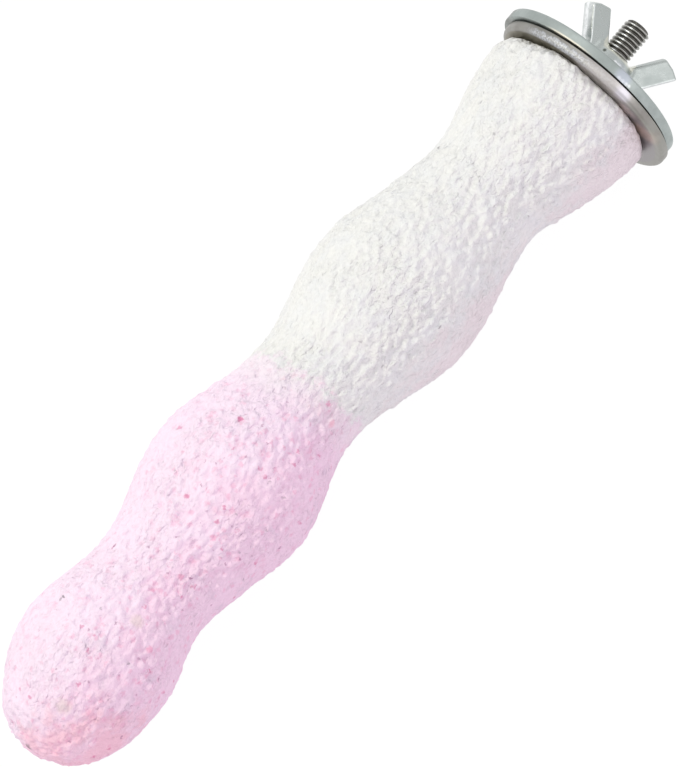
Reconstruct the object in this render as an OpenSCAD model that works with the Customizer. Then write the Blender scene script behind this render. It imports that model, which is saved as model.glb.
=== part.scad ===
// Wavy mineral bird perch in a white and a pink section, with its bolt, two washers and wing nut.
// +X runs out along the bolt, away from the perch. The origin is on the bolt's axis, on the face of the
// inner washer that bears on the cage bars. The perch bows gently towards +Y.

/* [Perch outline] */
// Length of the perch from its end face to its tip
perch_length = 183; // [165:0.5:205]
// Diameter of the two full lobes
lobe_dia = 38; // [33:0.5:42]
// How much wider than the lobes the end is that faces the cage
end_extra = 0.2; // [-1:0.1:2]
// Length of the full-width land at that end
end_land = 2.5; // [0:0.5:5]
// Diameter at each of the three necks
neck_dia = 27.8; // [26:0.2:31]
// Diameter of the rounded head
head_dia = 35.6; // [33:0.2:40]
// Offset of the end face from the bolt's axis
end_offset = 1.5; // [0:0.1:2.5]
// Offset of the tip from the bolt's axis, to the other side
tip_offset = 0.8; // [0:0.1:2.5]
// Bow of the middle, past the line from the end to the tip
bow = 2.8; // [0:0.1:3]
// Distance from the middle neck back to the joint of the two colours
joint_before_waist = 1; // [0:0.5:10]

/* [Core dowel] */
// Diameter of the dowel inside the moulded sections
dowel_dia = 14; // [11:0.5:15]
// Moulded material left between the dowel's end and the tip
dowel_end_cover = 19; // [14:1:30]

/* [Bolt] */
// Thread diameter of the bolt
bolt_dia = 6; // [5:0.5:7]
// Length of the bolt that stands out of the perch's end face
bolt_out = 19.7; // [18:0.1:26]
// Bevel on the bolt's outer end
bolt_bevel = 0.7; // [0.2:0.1:1.2]
// Depth that the machine thread reaches into the dowel
thread_depth = 12; // [6:1:20]
// Diameter of the wood screw end
screw_dia = 4.6; // [3:0.2:4.8]
// Length of the wood screw end without its point
screw_length = 24; // [15:1:40]
// Length of the screw's point
screw_point = 5; // [3:0.5:8]

/* [Washers] */
// Diameter of both washers
washer_dia = 43.5; // [40:0.5:50]
// Thickness of the inner washer
inner_thick = 2; // [1:0.1:2.5]
// Thickness of the outer washer
outer_thick = 2.4; // [1:0.1:2.8]
// Gap between the washers as the nut is left
washer_gap = 0.4; // [0.2:0.05:1]
// Clearance of the washer's hole all round the bolt
washer_clearance = 0.25; // [0.1:0.05:0.5]
// Rounding of the washer's rim
rim_round = 0.45; // [0.1:0.05:0.48]

/* [Wing nut] */
// Diameter at the foot of the hub
foot_dia = 13.4; // [12.4:0.2:16]
// Height of the foot's rim
foot_rim = 0.7; // [0.3:0.1:1.2]
// Diameter at the top of the hub
hub_dia = 9.4; // [8.8:0.2:11]
// Height of the hub
hub_height = 6.7; // [6:0.1:9]
// Height of the hub where the foot's flare ends
flare_height = 3; // [2:0.1:4]
// Diameter of the hub where the flare ends
flare_dia = 10.6; // [9.6:0.2:11.6]
// Bevel round the top of the hub
hub_bevel = 0.7; // [0.1:0.1:0.8]
// Clearance of the nut's bore all round the bolt
nut_clearance = 0.06; // [0.02:0.01:0.1]
// Width of each wing, across its length
wing_width = 4.8; // [4:0.1:6]
// Thickness of each wing along its outer edge
wing_outer_thick = 4.2; // [3:0.1:4.6]
// Thickness of each wing along its inner edge
wing_inner_thick = 2.6; // [1.8:0.1:3]
// Distance from the nut's axis to the far side of the first wing
first_reach = 13.4; // [12:0.1:15]
// Height of the first wing's tip above the washer
first_top = 14.9; // [13:0.1:17]
// Lean of the first wing away from the nut's axis
first_lean = 34; // [26:1:38]
// Distance from the nut's axis to the far side of the second wing
second_reach = 12.3; // [11.5:0.1:15]
// Height of the second wing's tip above the washer
second_top = 13.9; // [13:0.1:17]
// Lean of the second wing away from the nut's axis
second_lean = 38; // [26:1:40]
// Radius of the wing's outer corner
outer_corner = 1.3; // [0.5:0.1:2]
// Radius of the wing's inner corner
inner_corner = 0.9; // [0.4:0.1:1.6]
// Height where the wing's outer edge leaves the hub
wing_foot = 1.7; // [1:0.1:2.2]
// Height where the wing's outer edge straightens
wing_fillet = 5; // [4:0.1:6]
// Turn of the wings about the bolt as the nut is left
wing_turn = 32; // [0:1:180]

/* [Hidden] */
round_fn = 64;
// Where the necks are narrowest and the lobes and the head widest, as shares of the perch's length
neck_shares = [0.1639, 0.4754, 0.7623];
lobe_shares = [0.3224, 0.612];
head_share = 0.8798;
// Sides and ring spacing of the perch's outer surface
perch_sides = 40;
ring_step = 4.1;
tip_rings = 7;
// The head falls away to the tip as this power of the distance
head_power = 2.1;
// The first slope falls as this power of a quarter wave, which keeps the end full
end_power = 1.6;
// Part of a ring's step by which the last ring stops short of the tip
tip_share = 0.4;
// Run of a cutting shape past the face that it opens
overrun = 1;

first_neck = perch_length * neck_shares[0];
first_lobe = perch_length * lobe_shares[0];
waist = perch_length * neck_shares[1];
second_lobe = perch_length * lobe_shares[1];
last_neck = perch_length * neck_shares[2];
head = perch_length * head_share;
head_to_tip = perch_length - head;
colour_joint = waist - joint_before_waist;
dowel_length = perch_length - dowel_end_cover;
end_face = -inner_thick;
nut_seat = washer_gap + outer_thick;
end_dia = lobe_dia + end_extra;

function blend(t, from, to, r_from, r_to) =
    r_to + (r_from - r_to) * (1 + cos(180 * (t - from) / (to - from))) / 2;

// Radius of the perch at a distance t from its end face
function perch_r(t) =
    t < end_land ? end_dia / 2 :
    t < first_neck ? neck_dia / 2 + (end_dia - neck_dia) / 2
        * pow(max(cos(90 * (t - end_land) / (first_neck - end_land)), 0), end_power) :
    t < first_lobe ? blend(t, first_neck, first_lobe, neck_dia / 2, lobe_dia / 2) :
    t < waist ? blend(t, first_lobe, waist, lobe_dia / 2, neck_dia / 2) :
    t < second_lobe ? blend(t, waist, second_lobe, neck_dia / 2, lobe_dia / 2) :
    t < last_neck ? blend(t, second_lobe, last_neck, lobe_dia / 2, neck_dia / 2) :
    t < head ? blend(t, last_neck, head, neck_dia / 2, head_dia / 2) :
    head_dia / 2 * sqrt(max(1 - pow((t - head) / head_to_tip, head_power), 0));

// Offset of the perch's centre line from the bolt's axis, at a distance t from the end face
function perch_y(t) =
    let(f = t / perch_length)
    end_offset - (end_offset + tip_offset) * f + bow * sin(180 * f);

function ring(t) = [for (k = [0 : perch_sides - 1]) let(a = 360 * k / perch_sides)
    [end_face - t, perch_y(t) + perch_r(t) * cos(a), perch_r(t) * sin(a)]];

// Evenly spaced distances, no further apart than a step
function spaced(from, to) =
    let(n = ceil((to - from) / ring_step)) [for (i = [0 : n]) from + (to - from) * i / n];

// Distances that crowd together towards the tip and stop just short of it
function tip_spaced() =
    [for (i = [1 : tip_rings]) head + head_to_tip * sin(90 * i / (tip_rings + tip_share))];

module skin(places) {
    n = len(places) - 1;
    points = [for (t = places) each ring(t)];
    sides = [for (i = [0 : n - 1], k = [0 : perch_sides - 1])
        let(a = i * perch_sides + k, b = i * perch_sides + (k + 1) % perch_sides)
        each [[a, b, b + perch_sides], [a, b + perch_sides, a + perch_sides]]];
    near_cap = [for (k = [perch_sides - 1 : -1 : 0]) k];
    far_cap = [for (k = [0 : perch_sides - 1]) n * perch_sides + k];
    polyhedron(points = points, faces = concat([near_cap], sides, [far_cap]));
}

// A cylinder along X, from one place on the bolt's axis to another
module rod(from, to, dia) {
    translate([from, 0, 0])
        rotate([0, 90, 0])
            cylinder(d = dia, h = to - from, $fn = round_fn);
}

// Turns a profile of [distance along the axis, radius] points round the bolt's axis
module turned(profile) {
    rotate([0, 90, 0])
        rotate_extrude($fn = round_fn)
            polygon([for (p = profile) [p[1], p[0]]]);
}

// Points along the rounding of one corner, from one edge direction to the other
function corner(at, prev, next, r, steps = 6) =
    let(
        u = (prev - at) / norm(prev - at),
        v = (next - at) / norm(next - at),
        half = acos(u * v) / 2,
        mid = (u + v) / norm(u + v),
        centre = at + mid * r / sin(half),
        start = at + u * r / tan(half) - centre,
        finish = at + v * r / tan(half) - centre,
        turn = 180 - 2 * half
    )
    [for (i = [0 : steps])
        let(s = i / steps)
        centre + (sin(turn * (1 - s)) * start + sin(turn * s) * finish) / sin(turn)];

module core_dowel() {
    screw_start = end_face - thread_depth;
    color("burlywood")
        difference() {
            rod(end_face - dowel_length, end_face, dowel_dia);
            rod(screw_start, end_face + overrun, bolt_dia);
            rod(screw_start - screw_length - screw_point, screw_start + overrun, screw_dia);
        }
}

module white_coat() {
    color("snow")
        difference() {
            skin(concat(
                spaced(0, end_land),
                [for (t = spaced(end_land, first_neck)) if (t > end_land) t],
                [for (t = spaced(first_neck, colour_joint)) if (t > first_neck) t]
            ));
            rod(end_face - colour_joint - overrun, end_face + overrun, dowel_dia);
        }
}

module pink_coat() {
    color("lavenderblush")
        difference() {
            skin(concat(spaced(colour_joint, head), tip_spaced()));
            rod(end_face - dowel_length, end_face - colour_joint + overrun, dowel_dia);
        }
}

module hanger_bolt() {
    screw_start = end_face - thread_depth;
    tip = end_face + bolt_out;
    color("dimgray")
        union() {
            rod(screw_start, tip - bolt_bevel, bolt_dia);
            turned([
                [tip - bolt_bevel, 0],
                [tip - bolt_bevel, bolt_dia / 2],
                [tip, bolt_dia / 2 - bolt_bevel],
                [tip, 0]
            ]);
            rod(screw_start - screw_length, screw_start, screw_dia);
            turned([
                [screw_start - screw_length - screw_point, 0],
                [screw_start - screw_length, screw_dia / 2],
                [screw_start - screw_length, 0]
            ]);
        }
}

// A flat washer whose rim is rounded on both faces, with its inner face at x
module washer(x, thick) {
    r = washer_dia / 2;
    hole_r = bolt_dia / 2 + washer_clearance;
    far = x + thick;
    turned(concat(
        [[x, hole_r]],
        [for (a = [0 : 22.5 : 90]) [x + rim_round * (1 - cos(a)), r - rim_round * (1 - sin(a))]],
        [for (a = [90 : 22.5 : 180]) [far - rim_round * (1 + cos(a)), r - rim_round * (1 - sin(a))]],
        [[far, hole_r]]
    ));
}

module inner_washer() {
    color("darkgray")
        washer(-inner_thick, inner_thick);
}

module outer_washer() {
    color("silver")
        washer(washer_gap, outer_thick);
}

// One wing, drawn as [distance from the axis, height above the nut's seat], then thinned to its inner edge
module wing(reach, top, lean) {
    along = [sin(lean), cos(lean)];
    across = [cos(lean), -sin(lean)];
    // The tip's corners before they are rounded
    outer_tip = [reach, top - wing_width * sin(lean)];
    inner_tip = outer_tip - across * wing_width;
    // Both edges run back down along the lean
    inner_root = inner_tip - along * (inner_tip[1] - hub_height) / cos(lean);
    outer_root = outer_tip - along * (outer_tip[1] - wing_fillet) / cos(lean);
    foot_r = foot_dia / 2 - foot_rim;
    root_r = bolt_dia / 2 + hub_bevel;
    outline = concat(
        [[root_r, wing_foot], [foot_r, wing_foot], outer_root],
        corner(outer_tip, outer_root, inner_tip, outer_corner),
        corner(inner_tip, outer_tip, inner_root, inner_corner),
        [inner_root, [root_r, hub_height - 2 * hub_bevel]]
    );
    // Distance over which the wing thins, from its outer edge to past the hub's middle
    run = wing_width + hub_dia / 2;
    thin = wing_outer_thick - (wing_outer_thick - wing_inner_thick) * run / wing_width;
    intersection() {
        translate([0, 0, -wing_outer_thick])
            linear_extrude(height = 2 * wing_outer_thick)
                polygon(outline);
        translate(concat(outer_tip - along * 2 * top, [0]))
            rotate([-90, 0, -lean])
                linear_extrude(height = 3 * top)
                    polygon([
                        [0, wing_outer_thick / 2],
                        [-run, thin / 2],
                        [-run, -thin / 2],
                        [0, -wing_outer_thick / 2]
                    ]);
    }
}

// Stands a wing on the nut's seat, on one side of the bolt
module placed_wing(side, reach, top, lean) {
    translate([nut_seat, 0, 0])
        rotate([side + wing_turn, 0, 0])
            rotate(180, [1, 1, 0])
                wing(reach, top, lean);
}

module wing_nut() {
    bore_r = bolt_dia / 2 + nut_clearance;
    color("lightsteelblue")
        difference() {
            union() {
                turned([
                    [nut_seat, 0],
                    [nut_seat, foot_dia / 2],
                    [nut_seat + foot_rim, foot_dia / 2],
                    [nut_seat + flare_height, flare_dia / 2],
                    [nut_seat + hub_height - hub_bevel, hub_dia / 2],
                    [nut_seat + hub_height, hub_dia / 2 - hub_bevel],
                    [nut_seat + hub_height, 0]
                ]);
                placed_wing(180, first_reach, first_top, first_lean);
                placed_wing(0, second_reach, second_top, second_lean);
            }
            rod(nut_seat - overrun, nut_seat + first_top + overrun, 2 * bore_r);
        }
}

core_dowel();
white_coat();
pink_coat();
hanger_bolt();
inner_washer();
outer_washer();
wing_nut();
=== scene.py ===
"""Looks of the bird perch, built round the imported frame.

Lengths are in millimetres in the frame's axes, and MM turns them into metres where a mesh is written.
t is the distance along the perch from its end face. An angle round the perch starts at +Y and turns
towards +Z.
"""

import math

import bpy
import numpy as np
from mathutils import Matrix, Vector


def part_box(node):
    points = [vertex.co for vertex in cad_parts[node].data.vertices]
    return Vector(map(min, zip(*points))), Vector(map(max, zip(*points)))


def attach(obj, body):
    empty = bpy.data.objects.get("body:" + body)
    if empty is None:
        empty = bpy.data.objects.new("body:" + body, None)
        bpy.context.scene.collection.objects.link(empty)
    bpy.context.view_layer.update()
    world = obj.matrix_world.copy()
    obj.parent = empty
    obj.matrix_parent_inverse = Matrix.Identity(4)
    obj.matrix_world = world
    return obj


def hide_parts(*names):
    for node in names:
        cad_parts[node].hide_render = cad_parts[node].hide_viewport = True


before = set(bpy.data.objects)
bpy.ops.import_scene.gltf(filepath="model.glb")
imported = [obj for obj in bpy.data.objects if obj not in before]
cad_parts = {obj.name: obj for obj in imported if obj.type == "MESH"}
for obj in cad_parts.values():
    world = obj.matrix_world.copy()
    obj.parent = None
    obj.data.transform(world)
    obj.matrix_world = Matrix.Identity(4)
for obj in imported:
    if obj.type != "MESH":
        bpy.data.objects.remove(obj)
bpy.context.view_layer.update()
scene = bpy.context.scene

MM = 0.001
MESH_UNIT = 1 / MM


def node_box(node):
    """Lowest and highest corner of a CAD node, in millimetres."""
    low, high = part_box(node)
    return np.array(low) * MESH_UNIT, np.array(high) * MESH_UNIT


# The perch's outline, as the CAD model has it
LENGTH = 183.0
END_R, NECK_R, LOBE_R, HEAD_R = 19.1, 13.9, 19.0, 17.8
# Necks, lobes and head in turn: their radius, and the share of the length where each lies
WAVE_R = np.array([NECK_R, LOBE_R, NECK_R, LOBE_R, NECK_R, HEAD_R])
WAVE_SHARES = np.array([0.1639, 0.3224, 0.4754, 0.612, 0.7623, 0.8798])
END_LAND = 2.5
END_POWER, HEAD_POWER = 1.6, 2.1
END_OFFSET, TIP_OFFSET, BOW = 1.5, 0.8, 2.8
JOINT_BEFORE_WAIST = 1.0

INNER_LOW, INNER_HIGH = node_box("inner_washer")
OUTER_LOW, OUTER_HIGH = node_box("outer_washer")
BOLT_LOW, BOLT_HIGH = node_box("hanger_bolt")
DOWEL_LOW, DOWEL_HIGH = node_box("core_dowel")
END_X = INNER_LOW[0]
WASHER_R = INNER_HIGH[2]
NUT_SEAT = OUTER_HIGH[0]
BOLT_TIP = BOLT_HIGH[0]
BOLT_R = BOLT_HIGH[2]
DOWEL_R = DOWEL_HIGH[2]
DOWEL_LENGTH = DOWEL_HIGH[0] - DOWEL_LOW[0]


# Noise

TABLE_SIZE = 256
NOISE_GAIN = 1.6
SPOT_JITTER = 0.42


def lattice(seed):
    """A shuffled table of whole numbers, and a unit vector for each."""
    rng = np.random.default_rng(seed)
    ways = rng.normal(size=(TABLE_SIZE, 3))
    return rng.permutation(TABLE_SIZE), ways / np.linalg.norm(ways, axis=1)[:, None]


def hashed(table, cell):
    """The table's number for each cell of the lattice."""
    h = table[cell[:, 0] % TABLE_SIZE]
    h = table[(h + cell[:, 1]) % TABLE_SIZE]
    return table[(h + cell[:, 2]) % TABLE_SIZE]


def noise(points, size, seed):
    """Smooth noise of about -1 to 1, whose lumps are about size apart."""
    table, ways = lattice(seed)
    p = (points / size).reshape(-1, 3)
    cell = np.floor(p).astype(int)
    f = p - cell
    ease = f * f * f * (f * (f * 6 - 15) + 10)
    total = np.zeros(len(p))
    for corner in np.ndindex(2, 2, 2):
        c = np.array(corner)
        weight = np.where(c, ease, 1 - ease).prod(1)
        total += weight * ((f - c) * ways[hashed(table, cell + c)]).sum(1)
    return (total * NOISE_GAIN).reshape(points.shape[:-1])


def layered(points, layers):
    """The sum of several noises, each given as an amount, a size and a seed."""
    return sum(amount * noise(points, size, seed) for amount, size, seed in layers)


def cells(points, size, seed):
    """Distance in cells to the nearest of one random spot a cell, and its own number, 0 to 1."""
    table, ways = lattice(seed)
    p = points / size
    cell = np.floor(p).astype(int)
    best = np.full(len(p), np.inf)
    own = np.zeros(len(p))
    for corner in np.ndindex(3, 3, 3):
        c = cell + np.array(corner) - 1
        h = hashed(table, c)
        gap = np.linalg.norm(c + 0.5 + SPOT_JITTER * ways[h] - p, axis=1)
        nearer = gap < best
        best = np.where(nearer, gap, best)
        own = np.where(nearer, h / (TABLE_SIZE - 1), own)
    return best, own


def ramp(x, low, high):
    """Rises from 0 at low to 1 at high, level at both. low may be the larger."""
    s = np.clip((x - low) / (high - low), 0, 1)
    return s * s * (3 - 2 * s)


# Meshes

def add_object(name, data):
    """A new object in the scene."""
    made = bpy.data.objects.new(name, data)
    scene.collection.objects.link(made)
    return made


def make_object(name, points, faces, smooth_angle=40):
    """An object whose mesh is given in millimetres. Edges sharper than smooth_angle stay sharp."""
    mesh = bpy.data.meshes.new(name)
    mesh.from_pydata((np.asarray(points) * MM).tolist(), [], faces)
    mesh.validate()
    mesh.polygons.foreach_set("use_smooth", [True] * len(mesh.polygons))
    mesh.set_sharp_from_angle(angle=math.radians(smooth_angle))
    mesh.update()
    return add_object(name, mesh)


def attribute(obj, name, values):
    """Stores one number a vertex for the material."""
    layer = obj.data.attributes.new(name, "FLOAT", "POINT")
    layer.data.foreach_set("value", np.asarray(values, np.float32))


def turns(sides):
    """Angles of evenly spread points round a circle."""
    return np.arange(sides) * 2 * math.pi / sides


def spread(start, end, step):
    """Evenly spread numbers from start to end, at most step apart."""
    return np.linspace(start, end, int(math.ceil((end - start) / step)) + 1)


def band_faces(rings, sides, closed=False):
    """Quads between neighbouring rings of points. closed joins the last ring to the first."""
    i = np.arange(rings if closed else rings - 1)[:, None] * sides
    k = np.arange(sides)[None, :]
    k2 = (k + 1) % sides
    j = (i + sides) % (rings * sides)
    return np.stack(np.broadcast_arrays(i + k, j + k, j + k2, i + k2), -1).reshape(-1, 4).tolist()


def cap_faces(first, last, rings, sides, flip=False):
    """Triangles that close a tube's two ends onto the points first and last."""
    base = (rings - 1) * sides
    faces = []
    for k in range(sides):
        pair = (k, (k + 1) % sides)
        here, there = pair[::-1] if flip else pair
        faces += [(first, here, there), (last, base + there, base + here)]
    return faces


def round_axis(x, r, angle, middle=0.0):
    """Points at a distance r from an axis along X, which lies middle towards +Y."""
    return np.stack(np.broadcast_arrays(x, middle + r * np.cos(angle), r * np.sin(angle)), -1)


# Perch

SIDES = 330
RING_STEP = 0.36
EDGE_STEPS = (0, 0.03, 0.08, 0.15, 0.24, 0.36, 0.5, 0.65, 0.82)
EDGE_END = 1.0
TIP_RINGS = 60
TIP_LAST_RING = 59.5
JOINT_TILT = 1.5
JOINT_BLEND = 8
JOINT_RAGGED = ((0.9, 7.0, 31), (0.4, 2.2, 32))
NORMAL_STEP = 0.05

# Cast surface. Its lumps are longer along the perch than across it. Noises are an amount, a size and a
# seed, and a spot's reach is counted in cells
GRAIN_WAY = (0.72, 1.0, 1.0)
BROAD_SWELLS = ((0.16, 15, 1), (0.09, 6.5, 2))
LUMPS_AND_GRIT = ((0.3, 2.3, 3), (0.5, 1.25, 4))
PATCH_MEAN, PATCHES = 0.85, ((0.5, 11, 6),)
DOME_HEIGHT, DOME_SIZE, DOME_SEED = 0.32, 1.6, 8
DOME_REACH, DOME_CORE, DOME_MEAN = 0.66, 0.06, 0.35
PIT_DEPTH, PIT_SIZE, PIT_SEED = 0.14, 2.0, 7
PIT_REACH, PIT_CORE, PIT_FROM, PIT_LEAST = 0.4, 0.1, 0.7, 0.4
SINK = 0.1
# Where the surface is calmer or rougher: spans of a cosine or a distance, and how much
CALM_END, CALM_LEAST = 1.2, 0.35
FLANK_FROM, FLANK_FULL, FLANK_CALM = 0.85, 0.99, 0.45
FAR_FROM, FAR_FULL, FAR_ROUGH = 0.15, 0.65, 0.38
END_SLOPE = 0.3

# Round of the worn edge at the cage end: pairs of an angle in degrees and a size
EDGE_WEAR = (
    (0, 3.2), (30, 4.0), (50, 4.2), (80, 2.5), (92, 2.2), (110, 3.6), (126, 2.6), (150, 2.3),
    (180, 2.6), (270, 2.2), (360, 3.2),
)
WEAR_RAGGED = ((0.6, 3.4, 21), (0.9, 1.4, 22))
WEAR_LEAST, WEAR_MOST = 0.3, 5.0
SMOOTH_SIDE, SMOOTH_SIDE_SHARE = -0.5, 0.5

# How much fuller this casting came out than the smooth perch: pairs of a distance and an amount, along
# the flank towards +Y and along the other one. FLANK_TURN is where the first flank's middle lies
FLANK_TURN = 12
FLANK_POWER = 1.5
FULLNESS_R = 6
FULL_FLANK = (
    (0, -0.2), (16, -0.3), (22, -0.55), (34, 0.1), (46, -0.3), (64, -0.6), (78, -0.45), (90, 0.0),
    (112, -0.25), (131, 0.0), (147, 0.2), (158, -0.15), (168, -0.75), (175, -1.3), (181, -0.3),
)
FAR_FLANK = (
    (0, 0.45), (22, 0.65), (28, 0.1), (40, 0.65), (58, 0.45), (74, 0.0), (94, -0.35), (110, 0.0),
    (123, -0.15), (131, 0.35), (142, -0.1), (151, 0.1), (164, -0.9), (172, -0.8), (181, -0.2),
)

WAVES = LENGTH * WAVE_SHARES
HEAD = WAVES[-1]
JOINT = WAVES[2] - JOINT_BEFORE_WAIST


def perch_r(t):
    """Radius of the perch without its roughness: half waves from each neck or lobe to the next."""
    slope = np.cos(np.pi / 2 * (t - END_LAND) / (WAVES[0] - END_LAND))
    k = np.clip(np.searchsorted(WAVES, t, side="right") - 1, 0, len(WAVES) - 2)
    wave = (1 + np.cos(np.pi * (t - WAVES[k]) / (WAVES[k + 1] - WAVES[k]))) / 2
    past_head = np.maximum(t - HEAD, 0) / (LENGTH - HEAD)
    return np.select([t < END_LAND, t < WAVES[0], t < HEAD], [
        END_R + 0 * t,
        NECK_R + (END_R - NECK_R) * np.maximum(slope, 0) ** END_POWER,
        WAVE_R[k + 1] + (WAVE_R[k] - WAVE_R[k + 1]) * wave,
    ], HEAD_R * np.sqrt(np.maximum(1 - past_head**HEAD_POWER, 0)))


def eased(t, pairs):
    """Value at t of a curve through the pairs, which is level at each of them."""
    at, value = (np.array(v, float) for v in zip(*pairs))
    k = np.clip(np.searchsorted(at, t) - 1, 0, len(at) - 2)
    share = ramp((t - at[k]) / (at[k + 1] - at[k]), 0, 1)
    return value[k] + (value[k + 1] - value[k]) * share


def fullness(t, angle):
    """How far this casting's flanks stand out from the smooth perch."""
    toward = np.cos(angle - math.radians(FLANK_TURN))
    swollen = eased(t, FULL_FLANK) * np.maximum(toward, 0) ** FLANK_POWER
    swollen = swollen + eased(t, FAR_FLANK) * np.maximum(-toward, 0) ** FLANK_POWER
    return swollen * np.clip(perch_r(t) / FULLNESS_R, 0, 1)


def perch_y(t):
    """Offset of the perch's centre line from the bolt's axis."""
    share = t / LENGTH
    return END_OFFSET - (END_OFFSET + TIP_OFFSET) * share + BOW * np.sin(np.pi * share)


def perch_points(t, angle, r):
    """Points at a distance r from the perch's centre line."""
    return round_axis(END_X - t, r, angle, perch_y(t))


def perch_normals(t, angle):
    """Outward directions of the smooth perch."""
    a = np.clip(t - NORMAL_STEP, 0, LENGTH)
    b = np.clip(t + NORMAL_STEP, 0, LENGTH)
    along = perch_points(b, angle, perch_r(b)) - perch_points(a, angle, perch_r(a))
    round_way = np.stack([0 * angle, -np.sin(angle), np.cos(angle)], -1)
    out = np.cross(along, round_way)
    return out / np.maximum(np.linalg.norm(out, axis=-1, keepdims=True), 1e-9)


def relief(points):
    """Height of the cast surface's lumps and pits over the smooth perch."""
    grain = points * GRAIN_WAY
    gap, _ = cells(grain, DOME_SIZE, DOME_SEED)
    domes = ramp(gap, DOME_REACH, DOME_CORE) - DOME_MEAN
    gap, own = cells(points, PIT_SIZE, PIT_SEED)
    pits = np.where(own > PIT_FROM, ramp(gap, PIT_REACH, PIT_CORE), 0) * (PIT_LEAST + own)
    patch = PATCH_MEAN + layered(points, PATCHES)
    rough = patch * (DOME_HEIGHT * domes + layered(grain, LUMPS_AND_GRIT)) - PIT_DEPTH * pits
    return layered(points, BROAD_SWELLS) + rough - SINK


def round_spot(angle, r):
    """Point on a plain circle, for a noise that only varies round the perch."""
    return np.stack([np.cos(angle), np.sin(angle), 0 * angle], -1) * r


def end_wear(t, angle):
    """How far the worn edge at the cage end lies inside the smooth perch."""
    ragged = np.where(np.cos(angle) < SMOOTH_SIDE, SMOOTH_SIDE_SHARE, 1.0)
    size = eased(np.degrees(angle), EDGE_WEAR)
    size = size + ragged * layered(round_spot(angle, END_R), WEAR_RAGGED)
    size = np.clip(size, WEAR_LEAST, WEAR_MOST)
    inside = np.clip(size - t, 0, None)
    return size - np.sqrt(np.maximum(size**2 - inside**2, 0))


def joint_place(angle):
    """Where the two colours meet, at each angle round the perch."""
    tilt = JOINT_TILT * (1 + np.cos(angle))
    return JOINT + tilt + layered(round_spot(angle, NECK_R), JOINT_RAGGED)


def coat_surface(t, angle):
    """Points of the cast surface, and their height over the smooth one."""
    t, angle = t.ravel(), angle.ravel()
    r = perch_r(t) + fullness(t, angle) - end_wear(t, angle)
    smooth = perch_points(t, angle, r)
    calm = CALM_LEAST + (1 - CALM_LEAST) * ramp(t, 0, CALM_END)
    flank = ramp(np.abs(np.cos(angle)), FLANK_FROM, FLANK_FULL)
    far = ramp(-np.cos(angle), FAR_FROM, FAR_FULL) * (1 - flank)
    height = relief(smooth) * calm * (1 - FLANK_CALM * flank + FAR_ROUGH * far)
    points = smooth + perch_normals(t, angle) * height[:, None]
    points[:, 0] = np.minimum(points[:, 0], END_X - t * END_SLOPE)
    return points, height


def coat(name, t_rings, before, after=()):
    """A rough coat section. before and after are the (x, radius) rings that close it along the dowel.
    Without rings after it, it ends in the perch's tip."""
    angle = turns(SIDES)
    grid_angle = np.broadcast_to(angle, t_rings.shape)
    points, height = coat_surface(t_rings, grid_angle)
    first = [round_axis(x, r, angle) for x, r in before]
    every = np.concatenate(first + [points] + [round_axis(x, r, angle) for x, r in after])
    rings = len(before) + len(t_rings) + len(after)
    faces = band_faces(rings, SIDES, closed=bool(after))
    if not after:
        faces += cap_faces(len(every), len(every) + 1, rings, SIDES)
        tip = perch_points(np.array([LENGTH]), np.array([0.0]), np.array([0.0]))
        every = np.concatenate([every, [[before[0][0], 0, 0]], tip])
    made = make_object(name, every, faces, smooth_angle=60)

    count = len(before) * SIDES
    ends = (count, len(every) - len(points) - count)
    joint = (t_rings - joint_place(grid_angle)).ravel()
    attribute(made, "joint", np.pad(joint, ends, mode="edge"))
    attribute(made, "height", np.pad(height, ends))
    return made


def make_coats():
    """The white and the pink section, which meet along the joint's ragged line."""
    meet = joint_place(turns(SIDES))
    share = spread(0, 1, RING_STEP / JOINT_BLEND)[:, None]
    before_joint, past_joint = JOINT - JOINT_BLEND, JOINT + JOINT_BLEND

    near = np.concatenate([EDGE_STEPS, spread(EDGE_END, before_joint, RING_STEP)])
    white_t = np.concatenate([
        np.broadcast_to(near[:, None], (len(near), SIDES)),
        before_joint * (1 - share[1:]) + meet * share[1:],
    ])
    white = coat("white_section", white_t, [(END_X, DOWEL_R)], [(END_X - JOINT, DOWEL_R)])

    tip = np.sin(np.pi / 2 * np.arange(1, TIP_RINGS) / TIP_LAST_RING)
    rest = np.concatenate([spread(past_joint, HEAD, RING_STEP), HEAD + (LENGTH - HEAD) * tip])
    pink_t = np.concatenate([
        meet * (1 - share[:-1]) + past_joint * share[:-1],
        np.broadcast_to(rest[:, None], (len(rest), SIDES)),
    ])
    pink = coat("pink_section", pink_t, [(END_X - DOWEL_LENGTH, DOWEL_R), (END_X - JOINT, DOWEL_R)])
    return white, pink


# Bolt

STUD_SIDES = 72
STUD_STEP = 0.05
BEVEL = 0.65
MACHINE_END = -14.0
# Machine thread and wood screw: pitch, depth, and the shares of the pitch that crest and root take
PITCH, THREAD_DEPTH, THREAD_FLATS = 1.0, 0.56, (0.16, 0.2)
SCREW_PITCH, SCREW_DEPTH, SCREW_FLATS = 1.9, 0.6, (0.1, 0.5)
THREAD_ROUND = 0.35
SCREW_R, SCREW_TAPER, SCREW_POINT = 2.3, 5.0, 0.02


def thread(x, angle, pitch, flats):
    """A rounded right-hand thread: 1 at its crest and 0 at its root."""
    crest, root = flats
    phase = (x / pitch - angle / (2 * math.pi)) % 1
    up = 1 - np.abs(2 * phase - 1)
    straight = np.clip((up - root) / (1 - crest - root), 0, 1)
    return ramp(up, root, 1 - crest) * THREAD_ROUND + straight * (1 - THREAD_ROUND)


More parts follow.
